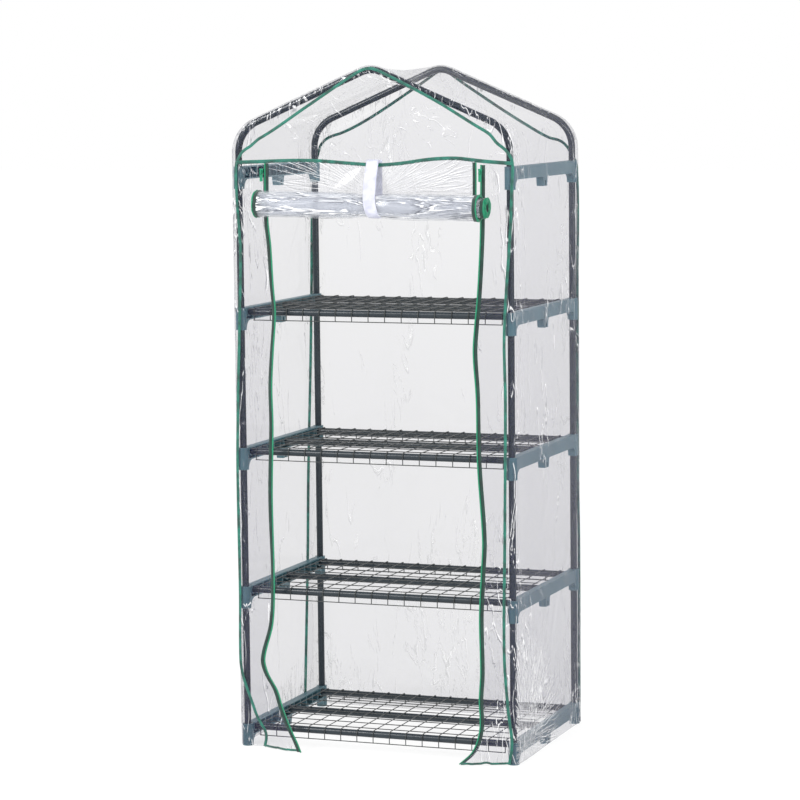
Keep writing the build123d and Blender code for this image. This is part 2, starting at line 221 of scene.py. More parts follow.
# ==== clear film cover ========================================================================
# Thin clear PVC, cut in panels.  One panel is both sides and the roof; a rear panel, a front
# gable and two front strips are sewn to it.  It hangs loose, so its seams wander off the posts.
FRONT_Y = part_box("front_strip_left")[0].y
REAR_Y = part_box("rear_panel")[1].y
WRAP_LOW, WRAP_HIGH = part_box("cover_wrap")
SIDE_X, RIDGE_Z, HEM_Z = WRAP_HIGH.x, WRAP_HIGH.z, WRAP_LOW.z
EAVE_BAND_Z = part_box("gable_panel")[0].z
EAVE_RADIUS, RIDGE_RADIUS, ROOF_SLOPE = 0.089, 0.071, 0.405
CORNER_ROUND = 0.011        # film round a post sleeve
FILM_THICKNESS = 0.0003
FILM_CELL = 0.007

eave_turn = pi / 2 - ROOF_SLOPE
ridge_corner_z = RIDGE_Z + RIDGE_RADIUS * (1 / cos(ROOF_SLOPE) - 1)
eave_corner_z = ridge_corner_z - SIDE_X * sin(ROOF_SLOPE) / cos(ROOF_SLOPE)
leg_top_z = eave_corner_z - EAVE_RADIUS * sin(eave_turn / 2) / cos(eave_turn / 2)
leg_length = leg_top_z - HEM_Z
eave_length = EAVE_RADIUS * eave_turn
ridge_half = RIDGE_RADIUS * ROOF_SLOPE
slope_length = (SIDE_X / cos(ROOF_SLOPE) - EAVE_RADIUS * sin(eave_turn / 2) / cos(eave_turn / 2)
                - RIDGE_RADIUS * sin(ROOF_SLOPE) / cos(ROOF_SLOPE))
HALF_ROUND = leg_length + eave_length + slope_length + ridge_half


def outline_at(distance):
    """The cover's outline at a distance from the ridge, left negative: x, z, outward x, outward z."""
    side, d = (-1 if distance < 0 else 1), abs(distance)
    if d < ridge_half:
        turn = d / RIDGE_RADIUS
        x, z = RIDGE_RADIUS * sin(turn), RIDGE_Z - RIDGE_RADIUS * (1 - cos(turn))
    elif d < ridge_half + slope_length:
        turn, run = ROOF_SLOPE, d - ridge_half
        x = RIDGE_RADIUS * sin(turn) + run * cos(turn)
        z = RIDGE_Z - RIDGE_RADIUS * (1 - cos(turn)) - run * sin(turn)
    elif d < ridge_half + slope_length + eave_length:
        turn = ROOF_SLOPE + (d - ridge_half - slope_length) / EAVE_RADIUS
        x = SIDE_X - EAVE_RADIUS + EAVE_RADIUS * sin(turn)
        z = leg_top_z + EAVE_RADIUS * cos(turn)
    else:
        turn = pi / 2
        x, z = SIDE_X, leg_top_z - (d - ridge_half - slope_length - eave_length)
    return side * x, z, side * sin(turn), cos(turn)


def leg_distance(z):
    """How far below the ridge, along the outline, a height on a side is."""
    return HALF_ROUND - (z - HEM_Z)


def ease(stations, t):
    """A smooth curve through a few (place, value) stations."""
    if t <= stations[0][0]:
        return stations[0][1]
    if t >= stations[-1][0]:
        return stations[-1][1]
    i = next(k for k in range(1, len(stations)) if t < stations[k][0])

    def slope(k):
        low, high = stations[max(k - 1, 0)], stations[min(k + 1, len(stations) - 1)]
        return (high[1] - low[1]) / (high[0] - low[0])

    (t0, v0), (t1, v1) = stations[i - 1], stations[i]
    span = t1 - t0
    f = (t - t0) / span
    return (v0 * (1 + 2 * f) * (1 - f) ** 2 + slope(i - 1) * span * f * (1 - f) ** 2
            + v1 * f * f * (3 - 2 * f) - slope(i) * span * f * f * (1 - f))


# How far the front seam lies in from the cover's edge, by distance from the ridge: the loose
# film sags below the roof tube and is pulled round the posts, most of all at the left foot.
FRONT_SEAM_LEFT = [(0.00, 0.006), (0.06, 0.013), (0.18, 0.031), (0.309, 0.050), (0.38, 0.048),
                   (0.425, 0.025), (0.445, 0.015), (0.52, 0.015), (0.64, 0.022), (0.76, 0.019),
                   (1.03, 0.008), (1.16, 0.003), (1.45, 0.005), (1.61, 0.001), (1.67, 0.016),
                   (1.71, 0.031), (1.75, 0.046), (1.79, 0.068), (1.83, 0.062)]
FRONT_SEAM_RIGHT = [(0.00, 0.006), (0.08, 0.010), (0.19, 0.018), (0.29, 0.031), (0.335, 0.035),
                    (0.383, 0.034), (0.418, 0.015), (0.44, 0.002), (0.50, 0.004), (0.59, 0.009),
                    (0.73, 0.020), (0.84, 0.026), (0.98, 0.024), (1.31, 0.028), (1.57, 0.031),
                    (1.70, 0.022), (1.77, 0.014), (1.83, 0.022)]
REAR_SEAM_LEFT = [(0.00, 0.012), (0.09, 0.028), (0.25, 0.050), (0.34, 0.048), (0.42, 0.022), (0.50, 0.002),
                  (0.76, -0.012), (0.95, -0.025), (1.22, -0.049), (1.44, -0.062), (1.83, -0.095)]
REAR_SEAM_RIGHT = [(0.00, 0.012), (0.09, 0.030), (0.25, 0.055), (0.34, 0.060), (0.41, 0.035), (0.47, 0.006),
                   (0.76, 0.006), (1.22, 0.008), (1.37, 0.004), (1.83, 0.006)]


def seam_inset(distance, front):
    """How far in from the edge the front or rear seam lies; negative is back along the side."""
    if front:
        return ease(FRONT_SEAM_LEFT if distance < 0 else FRONT_SEAM_RIGHT, abs(distance))
    return ease(REAR_SEAM_LEFT if distance < 0 else REAR_SEAM_RIGHT, abs(distance))


def round_corner(along):
    """A path round the film's corner: (inset, depth) at a signed distance past the corner."""
    if along <= -CORNER_ROUND:
        return 0.0, -along
    if along >= CORNER_ROUND:
        return along, 0.0
    turn = (along + CORNER_ROUND) / CORNER_ROUND * pi / 4
    return CORNER_ROUND * (1 - cos(turn)), CORNER_ROUND * (1 - sin(turn))


def cover_point(distance, along, front):
    """A point of the cover near its front or rear edge, and the direction it faces."""
    x, z, nx, nz = outline_at(distance)
    inset, depth = round_corner(along)
    facing = min(1.0, max(0.0, (along + CORNER_ROUND) / (2 * CORNER_ROUND)))
    way = -1 if front else 1
    y = (FRONT_Y if front else REAR_Y) - way * depth
    normal = Vector((nx * (1 - facing), way * facing, nz * (1 - facing))).normalized()
    return Vector((x - nx * inset, y, z - nz * inset)), normal


class Creases:
    """Long soft folds scattered over a panel, as ridges that fade out along their length."""

    def __init__(self, seed, count, width, height, lean, spread, size):
        rng = Random(seed)
        self.folds = []
        for _ in range(count):
            angle = lean + rng.gauss(0, spread)
            self.folds.append((rng.uniform(0, width), rng.uniform(0, height), cos(angle), sin(angle),
                               rng.uniform(0.05, 0.26), rng.uniform(0.004, 0.014),
                               rng.choice((-1, 1)) * rng.uniform(0.35, 1.0) * size))

    def lift(self, u, v):
        """Height of the folds at a place on the panel."""
        total = 0.0
        for fu, fv, c, s, length, width, height in self.folds:
            du, dv = u - fu, v - fv
            run, off = du * c + dv * s, dv * c - du * s
            if abs(run) < length and abs(off) < 3 * width:
                bow = off - 0.12 * length * (run / length) ** 2
                total += height * exp(-(bow / width) ** 2) * (1 - (run / length) ** 2) ** 2
        return total


def billow(point, size, seed):
    """Slow waves of a loose film."""
    return size * noise.noise(Vector((point.x * 3.1, point.y * 3.1, point.z * 2.3)) + Vector((seed, 0, 0)))


def fade(distance, width):
    """0 at a seam, 1 a little way from it."""
    f = min(1.0, max(0.0, distance / width))
    return f * f * (3 - 2 * f)


def make_piece(name, points, faces, material, body):
    """A mesh object with smooth faces that point outwards."""
    mesh = bpy.data.meshes.new(name)
    mesh.from_pydata(points, [], faces)
    mesh.validate()
    mesh.materials.append(material)
    for polygon in mesh.polygons:
        polygon.use_smooth = True
    piece = add_object(name, mesh)
    if body:
        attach(piece, body)
    return piece


def settle(piece):
    """Turn a piece's modifiers into plain mesh."""
    bpy.context.view_layer.update()
    graph = bpy.context.evaluated_depsgraph_get()
    mesh = bpy.data.meshes.new_from_object(piece.evaluated_get(graph))
    piece.modifiers.clear()
    piece.data = mesh
    return piece


def grid_faces(rows, columns, flip=False):
    """Quads between rows of points."""
    faces = []
    for i in range(rows - 1):
        for j in range(columns - 1):
            a = i * columns + j
            quad = (a, a + 1, a + columns + 1, a + columns)
            faces.append(quad[::-1] if flip else quad)
    return faces


FRAME_LOW, FRAME_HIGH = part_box("post_front_left_1")
POST_X = abs(FRAME_LOW.x + FRAME_HIGH.x) / 2
FRONT_POST_Y = (FRAME_LOW.y + FRAME_HIGH.y) / 2
REAR_POST_Y = FRONT_Y + REAR_Y - FRONT_POST_Y
FOLD_FAN = Vector((SIDE_X, FRONT_Y + 0.04, 0.10))
POST_REACH, REAR_REACH, FOOT_REACH, HEM_REACH = 0.032, 0.06, 0.20, 0.10


def gather_at(point):
    """How much the film is bunched, and so how many painted glint and shade lines show: most round the posts
    and roof tubes, and at the right foot.
    """
    to_front, to_rear = abs(point.y - FRONT_POST_Y), abs(point.y - REAR_POST_Y)
    inward = abs(point.x) - POST_X
    if point.z > leg_top_z:
        roof_z = ridge_corner_z - abs(point.x) * sin(ROOF_SLOPE) / cos(ROOF_SLOPE)
        inward = min(abs(inward), abs(roof_z - point.z))
    to_post = hypot(inward, min(to_front, to_rear))
    bunch = exp(-(to_post / POST_REACH) ** 2)
    rear_edge = 0.7 * exp(-((point.y - REAR_Y) / REAR_REACH) ** 2) * (abs(point.x) > SIDE_X - 0.05)
    foot = 1.1 * exp(-((point - FOLD_FAN).length / FOOT_REACH) ** 2)
    hem = 0.8 * exp(-(point.z / HEM_REACH) ** 2)
    on_roof = 1.5 if point.z > leg_top_z else 0.8 if point.x > 0 else 1.2
    return min(1.6, max(on_roof * bunch, rear_edge, foot, hem))


def make_film(name, rows, material, body="cover", flip=False, thickness=FILM_THICKNESS):
    """A film panel from rows of points, with its real thickness."""
    points = [p for row in rows for p in row]
    film = make_piece(name, points, grid_faces(len(rows), len(rows[0]), flip), material, body)
    bunched = film.data.attributes.new("gather", "FLOAT", "POINT")
    bunched.data.foreach_set("value", [gather_at(p) for p in points])
    shell = film.modifiers.new("thickness", "SOLIDIFY")
    shell.thickness, shell.offset = thickness, 0.0
    return settle(film)


# The film's creases as painted light: each wrinkle gets a painted glint on one flank and painted shade on the
# other, given out as Glint and Shade.
PAINTED_CREASE_LIGHT = bpy.data.node_groups.new("film_crease_painted_light", "ShaderNodeTree")
add_sockets(PAINTED_CREASE_LIGHT, "INPUT", "Vector", "Place", "Fan")
add_sockets(PAINTED_CREASE_LIGHT, "INPUT", "Float", "Gather")
add_sockets(PAINTED_CREASE_LIGHT, "OUTPUT", "Float", "Glint", "Shade")
group_in, group_out = add_node(PAINTED_CREASE_LIGHT, "NodeGroupInput"), add_node(PAINTED_CREASE_LIGHT, "NodeGroupOutput")


def step(operation, *terms):
    """One maths step inside the crease group; a term is a socket or a number."""
    made = add_node(PAINTED_CREASE_LIGHT, "ShaderNodeMath", operation=operation)
    for socket, term in zip(made.inputs, terms):
        if isinstance(term, (int, float)):
            socket.default_value = term
        else:
            PAINTED_CREASE_LIGHT.links.new(term, socket)
    return made.outputs["Value"]


def shift(vector, offset):
    """A place moved by a fixed offset."""
    made = add_node(PAINTED_CREASE_LIGHT, "ShaderNodeVectorMath", operation="ADD")
    PAINTED_CREASE_LIGHT.links.new(vector, made.inputs[0])
    made.inputs[1].default_value = offset
    return made.outputs["Vector"]


def soft_step(value, low, high):
    """0 below low and 1 above high, or the other way round where low is the larger."""
    made = add_node(PAINTED_CREASE_LIGHT, "ShaderNodeMapRange", interpolation_type="SMOOTHSTEP",
                    From_Min=low, From_Max=high)
    PAINTED_CREASE_LIGHT.links.new(value, made.inputs["Value"])
    return made.outputs["Result"]


def rough_field(vector, scale, detail, distortion=0.0):
    """A noise field."""
    made = add_node(PAINTED_CREASE_LIGHT, "ShaderNodeTexNoise", Scale=scale, Detail=detail, Distortion=distortion)
    PAINTED_CREASE_LIGHT.links.new(vector, made.inputs["Vector"])
    return made


def wrinkle_line(vector, scale, width):
    """Curved wrinkles: where a rough field crosses its middle value."""
    field = rough_field(vector, scale, 3.0, 0.4)
    return soft_step(step("ABSOLUTE", step("SUBTRACT", field.outputs["Fac"], 0.5)), width, 0.0)


warp = rough_field(group_in.outputs["Place"], 3.0, 1.0)
sway = add_node(PAINTED_CREASE_LIGHT, "ShaderNodeVectorMath", operation="MULTIPLY_ADD")
sway.inputs[1].default_value = (0.10, 0.10, 0.10)
join(PAINTED_CREASE_LIGHT,
     (warp, "Color", sway, 0), (group_in, "Place", sway, 2))
warped = sway.outputs["Vector"]
# The side that each wrinkle's painted glint lies towards; its painted shade lies on the other side.
LIT_SIDE = (0.0010, 0.0010, 0.0006)
STREAK_SCALE, STREAK_WIDTH = 21.0, 0.016
WRINKLE_SCALE, WRINKLE_WIDTH = 38.0, 0.030
FAN_SCALE, FAN_WIDTH, FAN_GAIN = 60.0, 0.075, 2.2
FAN_INNER, FAN_OUTER = 0.10, 0.34


def painted_flanks(vector, scale, width, offset=LIT_SIDE):
    """Wrinkles with a painted glint on one flank and painted shade on the other."""
    lit = wrinkle_line(vector, scale, width)
    return step("SUBTRACT", lit, wrinkle_line(shift(vector, offset), scale, width))


# Long streaks and short wrinkles, each painted with a glint flank and a shade flank.
streaked = add_node(PAINTED_CREASE_LIGHT, "ShaderNodeVectorMath", operation="MULTIPLY")
streaked.inputs[1].default_value = (1.0, 1.0, 0.42)
PAINTED_CREASE_LIGHT.links.new(warped, streaked.inputs[0])
streaks = painted_flanks(streaked.outputs["Vector"], STREAK_SCALE, STREAK_WIDTH)
wrinkles = painted_flanks(streaked.outputs["Vector"], WRINKLE_SCALE, WRINKLE_WIDTH)
broken = rough_field(shift(warped, (7.1, 2.3, 4.4)), 9.0, 2.0)
gather = group_in.outputs["Gather"]
loose = step("MULTIPLY_ADD", gather, 0.15, broken.outputs["Fac"])
slack = step("MULTIPLY_ADD", gather, 0.14, warp.outputs["Fac"])

# Painted glint and shade lines that fan out from the film's bunched right foot, as its folds would catch the
# light.
spot = add_node(PAINTED_CREASE_LIGHT, "ShaderNodeSeparateXYZ")
join(PAINTED_CREASE_LIGHT, (group_in, "Fan", spot, "Vector"))
fan_angle = step("ARCTAN2", spot.outputs["Z"], spot.outputs["Y"])
fan_reach = step("SQRT", step("ADD", step("MULTIPLY", spot.outputs["Y"], spot.outputs["Y"]),
                              step("MULTIPLY", spot.outputs["Z"], spot.outputs["Z"])))
fan_place = add_node(PAINTED_CREASE_LIGHT, "ShaderNodeCombineXYZ")
PAINTED_CREASE_LIGHT.links.new(step("MULTIPLY", fan_angle, 0.30), fan_place.inputs["X"])
PAINTED_CREASE_LIGHT.links.new(step("MULTIPLY", fan_reach, 0.16), fan_place.inputs["Y"])
fan_painted_lines = painted_flanks(fan_place.outputs["Vector"], FAN_SCALE, FAN_WIDTH, (0.0018, 0.0, 0.0))
on_side = step("MULTIPLY", soft_step(spot.outputs["X"], 0.012, 0.019), FAN_GAIN)
fan = step("MULTIPLY", fan_painted_lines, step("MULTIPLY", soft_step(fan_reach, FAN_OUTER, FAN_INNER), on_side))
# All the painted lines together: above zero they are painted glint, below zero painted shade.
relief = step("ADD", step("ADD", step("MULTIPLY", streaks, soft_step(loose, 0.46, 0.66)),
                          step("MULTIPLY", wrinkles, soft_step(slack, 0.56, 0.70))), fan)
PAINTED_CREASE_LIGHT.links.new(soft_step(relief, 0.10, 0.80), group_out.inputs["Glint"])
PAINTED_CREASE_LIGHT.links.new(soft_step(relief, -0.10, -0.80), group_out.inputs["Shade"])


def film_finish(name, low_alpha, high_alpha, glint_alpha, shade_alpha, stretch, tint, lean=0.0,
                fan_at=(SIDE_X - 0.02, FRONT_Y + 0.05, 0.04), fan_turn=0.0):
    """Clear film: it greys what is behind it, more towards the hem, and its creases carry painted glints and
    painted shade.
    """
    material, tree, surface = start_finish(name)
    place = add_node(tree, "ShaderNodeTexCoord")
    scale = add_node(tree, "ShaderNodeMapping", Scale=stretch, Rotation=(0.0, lean, 0.0))
    gather = add_node(tree, "ShaderNodeAttribute", attribute_name="gather")
    fan = add_node(tree, "ShaderNodeMapping", Rotation=(0.0, 0.0, fan_turn),
                   Location=-(Matrix.Rotation(fan_turn, 3, "Z") @ Vector(fan_at)))
    creases = add_node(tree, "ShaderNodeGroup", node_tree=PAINTED_CREASE_LIGHT)
    # Painted glints turn the film's tint white and painted shade lines turn it grey; both make the film less
    # clear there.
    colour = add_node(tree, "ShaderNodeMix", data_type="RGBA", A=(*tint, 1), B=(1.0, 1.0, 1.0, 1))
    darker = add_node(tree, "ShaderNodeMix", data_type="RGBA", B=CREASE_SHADE)
    height = add_node(tree, "ShaderNodeSeparateXYZ")
    # The film greys what is behind it more towards the bottom.
    hem_greying = add_node(tree, "ShaderNodeMapRange", From_Min=0.0, From_Max=GREYING_TOP,
                    To_Min=low_alpha, To_Max=high_alpha)
    join(tree,
         (place, "Object", scale, "Vector"), (place, "Object", fan, "Vector"),
         (place, "Object", height, "Vector"), (height, "Z", hem_greying, "Value"),
         (scale, "Vector", creases, "Place"), (fan, "Vector", creases, "Fan"),
         (gather, "Fac", creases, "Gather"), (creases, "Glint", colour, "Factor"),
         (colour, "Result", darker, "A"), (creases, "Shade", darker, "Factor"),
         (darker, "Result", surface, "Base Color"))
    rim = add_node(tree, "ShaderNodeLayerWeight", Blend=0.25)
    cover = hem_greying.outputs["Result"]
    for source, amount in ((rim.outputs["Fresnel"], RIM_ALPHA), (creases.outputs["Shade"], shade_alpha),
                           (creases.outputs["Glint"], glint_alpha)):
        layer = add_node(tree, "ShaderNodeMath", operation="MULTIPLY_ADD", use_clamp=True)
        layer.inputs[1].default_value = amount
        tree.links.new(source, layer.inputs[0])
        tree.links.new(cover, layer.inputs[2])
        cover = layer.outputs["Value"]
    tree.links.new(cover, surface.inputs["Alpha"])
    surface.inputs["Roughness"].default_value = 0.12
    surface.inputs["Specular IOR Level"].default_value = 0.9
    return material


RIM_ALPHA, GREYING_TOP = 0.12, 1.5
# The grey of the painted shade lines on the film.
CREASE_SHADE = (0.10, 0.11, 0.14, 1)
FILM_TINT = (0.050, 0.044, 0.110)
clear_film = film_finish("clear_film", 0.110, 0.036, 0.44, 0.28, (1.0, 1.0, 0.5), FILM_TINT)
rear_film = film_finish("rear_film", 0.150, 0.062, 0.35, 0.08, (1.0, 1.0, 0.5), FILM_TINT)
gable_film = film_finish("gable_film", 0.080, 0.034, 0.36, 0.10, (1.3, 1.3, 1.3), FILM_TINT, lean=0.95)

# The sides and the roof are one length of film, from the left hem over the ridge to the right.
side_creases = Creases(11, 150, 4 * HALF_ROUND, REAR_Y - FRONT_Y, 0.0, 0.9, 0.0022)


def wrap_row(distance, front_cells=7, side_cells=64, rear_cells=3):
    """Points across the side-and-roof panel from its rear seam to its front seam."""
    row = []
    x, z, nx, nz = outline_at(distance)
    rear_inset, front_inset = seam_inset(distance, False), seam_inset(distance, True)
    rear_start = max(CORNER_ROUND, -rear_inset + 0.001)
    on_roof = fade(HALF_ROUND - leg_length - abs(distance) + 0.03, 0.06)
    for j in range(rear_cells + 1):
        along = rear_inset + (-rear_start - rear_inset) * j / rear_cells
        row.append(cover_point(distance, along, False)[0])
    low_y, high_y = FRONT_Y + CORNER_ROUND, REAR_Y - rear_start
    for j in range(1, side_cells):
        y = high_y + (low_y - high_y) * j / side_cells
        middle = (y - FRONT_Y) / (REAR_Y - FRONT_Y)
        seam = fade(min(y - low_y, high_y - y), 0.05)
        lift = side_creases.lift(distance + HALF_ROUND, y - FRONT_Y) + billow(Vector((x, y, z)), 0.006, 3.0)
        sag = -0.010 * on_roof * sin(pi * middle) ** 2
        lift = max(lift, -0.0013 - 0.02 * on_roof) * seam + sag
        row.append(Vector((x + nx * lift, y, z + nz * lift)))
    for j in range(front_cells + 1):
        along = -CORNER_ROUND + (front_inset + CORNER_ROUND) * j / front_cells
        row.append(cover_point(distance, along, True)[0])
    return row


steps = int(2 * HALF_ROUND / FILM_CELL)
wrap_rows = [wrap_row(-HALF_ROUND + 2 * HALF_ROUND * i / steps) for i in range(steps + 1)]
cover_wrap = make_film("cover_wrap_film", wrap_rows, clear_film, flip=True)
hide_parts("cover_wrap")

# The rear panel fills the whole outline, and hangs in slow vertical waves.
rear_creases = Creases(23, 90, 2 * SIDE_X, RIDGE_Z, pi / 2, 0.7, 0.0022)


def edge_curve(front, samples):
    """The seam from the left hem over the ridge to the right hem."""
    spots = []
    for i in range(samples + 1):
        distance = -HALF_ROUND + 2 * HALF_ROUND * i / samples
        spots.append(cover_point(distance, seam_inset(distance, front), front)[0])
    return spots


def rear_face(x, z, to_seam):
    """A point of the rear panel away from its seams."""
    point = Vector((x, REAR_Y, z))
    lift = rear_creases.lift(x + SIDE_X, z) + billow(point, 0.010, 8.0) + 0.002
    point.y += max(lift, -0.001) * fade(to_seam, 0.06)
    return point


REAR_COLUMNS, ROOF_ROWS, leg_steps = 100, 30, 190
rear_rows = []
for i in range(leg_steps + 1):
    z = HEM_Z + (leg_top_z - HEM_Z) * i / leg_steps
    distance = leg_distance(z)
    left, right = -SIDE_X + seam_inset(-distance, False), SIDE_X - seam_inset(distance, False)
    row = []
    for j in range(REAR_COLUMNS + 1):
        f = j / REAR_COLUMNS
        x = left + (right - left) * f
        if x < -SIDE_X + CORNER_ROUND:
            row.append(cover_point(-distance, x + SIDE_X, False)[0])
        elif x > SIDE_X - CORNER_ROUND:
            row.append(cover_point(distance, SIDE_X - x, False)[0])
        else:
            row.append(rear_face(x, z, min(x + SIDE_X, SIDE_X - x) - CORNER_ROUND))
    rear_rows.append(row)
ROOF_REACH = HALF_ROUND - leg_length
for i in range(1, ROOF_ROWS + 1):
    row = []
    for j in range(REAR_COLUMNS + 1):
        distance = -ROOF_REACH + 2 * ROOF_REACH * j / REAR_COLUMNS
        seam_point = cover_point(distance, seam_inset(distance, False), False)[0]
        base = rear_rows[leg_steps][j]
        f = i / ROOF_ROWS
        x, z = base.x + (seam_point.x - base.x) * f, base.z + (seam_point.z - base.z) * f
        near = rear_face(x, z, min((1 - f) * (seam_point.z - base.z), SIDE_X - abs(x)))
        row.append(near if f < 1 else seam_point)
    rear_rows.append(row)
rear_panel = make_film("rear_panel_film", rear_rows, rear_film, flip=False)
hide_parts("rear_panel")

# The front gable hangs behind the eave band, under the front roof tube.
gable_creases = Creases(31, 60, 2 * SIDE_X, 0.24, 0.3, 0.9, 0.0022)


def eave_z(x):
    """Height of the middle of the eave band, which dips where the strap pulls it."""
    return EAVE_BAND_Z + 0.004 + ease([(-0.35, 0.0), (-0.30, 0.002), (-0.15, 0.005), (-0.01, -0.004),
                                       (0.03, -0.005), (0.08, -0.001), (0.15, 0.008), (0.21, 0.010),
                                       (0.27, 0.004), (0.35, -0.002)], x)


GABLE_REACH = leg_distance(EAVE_BAND_Z + 0.012)
GABLE_ROWS, GABLE_COLUMNS = 30, 120
gable_rows = []
for i in range(GABLE_ROWS + 1):
    row = []
    for j in range(GABLE_COLUMNS + 1):
        distance = -GABLE_REACH + 2 * GABLE_REACH * j / GABLE_COLUMNS
        seam_point = cover_point(distance, seam_inset(distance, True), True)[0]
        low_z = min(eave_z(seam_point.x), seam_point.z - 0.001)
        f = i / GABLE_ROWS
        z = low_z + (seam_point.z - low_z) * f
        point = Vector((seam_point.x, seam_point.y, z))
        off = min(z - low_z, seam_point.z - z)
        lift = gable_creases.lift(point.x + SIDE_X, z - EAVE_BAND_Z) + billow(point, 0.005, 5.0)
        point.y -= max(lift, -0.004) * fade(off, 0.04)
        row.append(point)
    gable_rows.append(row)
gable_panel = make_film("gable_panel_film", gable_rows, gable_film, flip=False)
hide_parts("gable_panel")

# Two strips beside the doorway, from the corner seams to the zips.  Their feet swing loose.
ZIP_LEFT = [(0.00, -0.180), (0.05, -0.214), (0.10, -0.238), (0.14, -0.252), (0.18, -0.276), (0.215, -0.284),
            (0.30, -0.262), (0.40, -0.256), (0.60, -0.259), (0.77, -0.254), (0.86, -0.255), (0.94, -0.250),
            (1.03, -0.243), (1.10, -0.248), (1.19, -0.253), (1.25, -0.259), (1.39, -0.259)]
ZIP_RIGHT = [(0.00, 0.218), (0.03, 0.248), (0.08, 0.263), (0.15, 0.261), (0.21, 0.264), (0.34, 0.262),
             (0.44, 0.267), (0.52, 0.271), (0.70, 0.260), (0.85, 0.258), (0.95, 0.252), (1.01, 0.256),
             (1.08, 0.263), (1.17, 0.269), (1.24, 0.272), (1.39, 0.274)]
FOOT_FLARE = [(0.0, 0.034), (0.03, 0.018), (0.08, 0.008), (0.16, 0.003), (0.26, 0.0)]


def zip_line(side, z):
    """Where a strip's zip edge hangs at a height."""
    return Vector((ease(ZIP_LEFT if side < 0 else ZIP_RIGHT, z), FRONT_Y - ease(FOOT_FLARE, z), z))


def strip_point(side, f, z, creases=None):
    """A point of a front strip: f runs from the corner seam (0) to the zip (1)."""
    start = cover_point(side * leg_distance(z), seam_inset(side * leg_distance(z), True), True)[0]
    x = start.x + (zip_line(side, z).x - start.x) * f
    inset = SIDE_X - abs(x)
    depth = round_corner(inset)[1] if inset < CORNER_ROUND else 0.0
    wave = 0.020 * noise.noise(Vector((f * 2.6, side * 3.0, 0.4))) * (1 - fade(z, 0.07))
    y = FRONT_Y + depth * (1 - f) - ease(FOOT_FLARE, z) * f - wave * f
    lift = creases.lift(abs(x) - 0.25, z) * fade(min(f, 1 - f), 0.25) if creases else 0.0
    rumple = max(0.0, noise.noise(Vector((f * 3.4, side * 5.0, 2.2)))) * 4 * f * (1 - f)
    return Vector((x, y - max(lift, -0.0012), z + 0.016 * rumple * (1 - fade(z, 0.05))))


def flatten(piece):
    """Gives a piece its own copy of its mesh."""
    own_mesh(piece)


def make_strip(side, name, node, seed):
    """One front strip."""
    creases = Creases(seed, 34, 0.10, EAVE_BAND_Z, pi / 2 + side * 0.5, 0.35, 0.0030)
    rows = []
    for i in range(STRIP_ROWS + 1):
        z = HEM_Z + (EAVE_BAND_Z + 0.004 - HEM_Z) * i / STRIP_ROWS
        rows.append([strip_point(side, j / STRIP_COLUMNS, z, creases) for j in range(STRIP_COLUMNS + 1)])
    strip = make_film(name, rows, clear_film, flip=side > 0)
    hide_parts(node)
    flatten(strip)


STRIP_ROWS, STRIP_COLUMNS = 210, 22
make_strip(-1, "left_strip_film", "front_strip_left", 41)
make_strip(1, "right_strip_film", "front_strip_right", 43)

# ==== green edge binding ======================================================================
# Folded woven tape, sewn over every outer seam and across the front above the doorway, with a row
# of stitches near its inner edge.
BINDING_WIDTH, BINDING_THICKNESS = 0.0070, 0.0020


def woven_finish(name, dark, light, pitch, rough):
    """Woven tape: crossing threads in two tones, with a little fuzz in its sheen."""
    material, tree, surface = start_finish(name)
    place = add_node(tree, "ShaderNodeTexCoord")
    warp = add_node(tree, "ShaderNodeTexWave", bands_direction="Z", Scale=pitch, Distortion=0.6)
    weft = add_node(tree, "ShaderNodeTexWave", bands_direction="X", Scale=pitch, Distortion=0.6)
    weave = add_node(tree, "ShaderNodeMath", operation="MULTIPLY")
    cloud = add_node(tree, "ShaderNodeTexNoise", Scale=45.0, Detail=4.0)
    blend = add_node(tree, "ShaderNodeMath", operation="MULTIPLY_ADD", use_clamp=True)
    blend.inputs[1].default_value = 0.55
    spread = add_node(tree, "ShaderNodeMapRange", From_Min=0.35, From_Max=0.65, To_Max=0.7)
    colour = add_node(tree, "ShaderNodeMix", data_type="RGBA", A=(*dark, 1), B=(*light, 1))
    relief = add_node(tree, "ShaderNodeBump", Strength=0.6, Distance=0.0004)
    for wave in (warp, weft):
        join(tree, (place, "Object", wave, "Vector"))
    join(tree,
         (place, "Object", cloud, "Vector"), (warp, "Fac", weave, 0), (weft, "Fac", weave, 1),
         (cloud, "Fac", spread, "Value"), (weave, "Value", blend, 0), (spread, "Result", blend, 2),
         (blend, "Value", colour, "Factor"), (colour, "Result", surface, "Base Color"),
         (weave, "Value", relief, "Height"), (relief, "Normal", surface, "Normal"))
    surface.inputs["Roughness"].default_value = rough
    surface.inputs["Sheen Weight"].default_value = 0.3
    return material


green_tape = woven_finish("green_binding", (0.001, 0.028, 0.021), (0.003, 0.215, 0.150), 520, 0.42)


